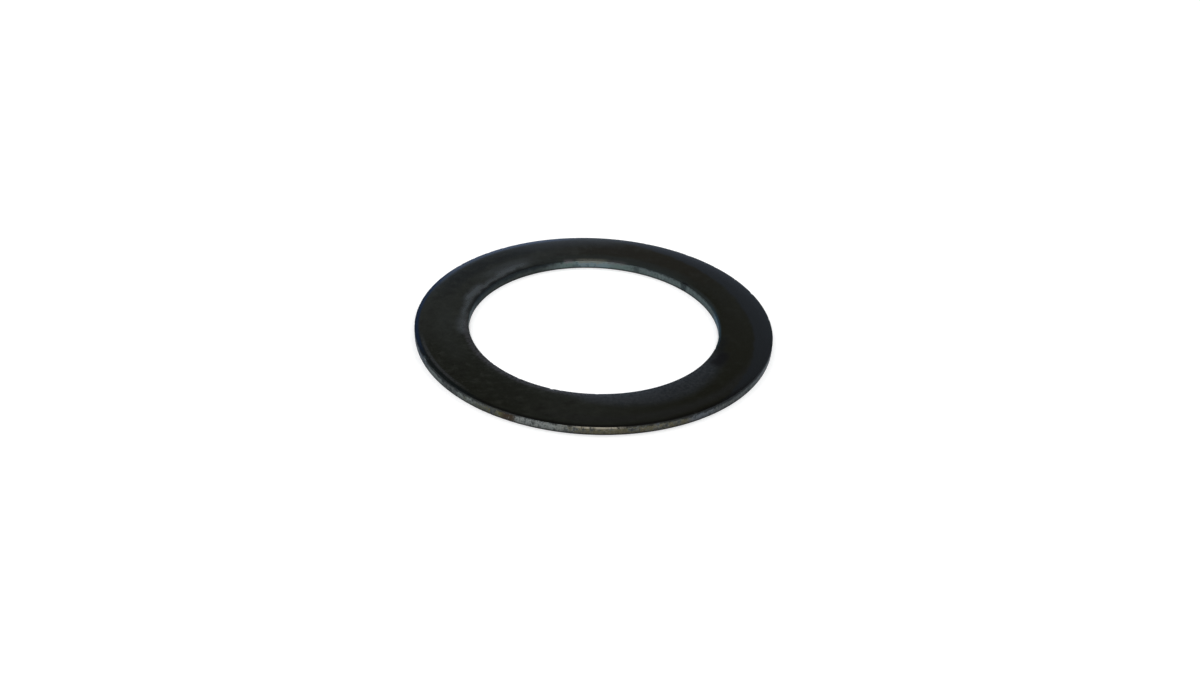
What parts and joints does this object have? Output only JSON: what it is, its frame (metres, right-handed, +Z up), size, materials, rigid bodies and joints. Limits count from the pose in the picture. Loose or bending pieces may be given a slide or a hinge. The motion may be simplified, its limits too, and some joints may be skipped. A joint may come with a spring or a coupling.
{
  "type": "gearbox shim",
  "caption": "Flat round steel shim ring with a plain bore, slid onto a shaft to take up end play; punched edges, dark oxide faces.",
  "frame": {"origin": "centre of the bore in the plane of the lower face, on the surface that the ring lies on", "axes": "+Z up the axis of the bore, from the lower face with its sharper corners to the upper face with its rolled-off edges; X and Y are free, because the ring is round"},
  "size_m": [0.04, 0.04, 0.001],
  "materials": {
    "oxide_steel": "satin"
  },
  "bodies": {
    "root": {"shim": "oxide_steel"}
  },
  "joints": []
}
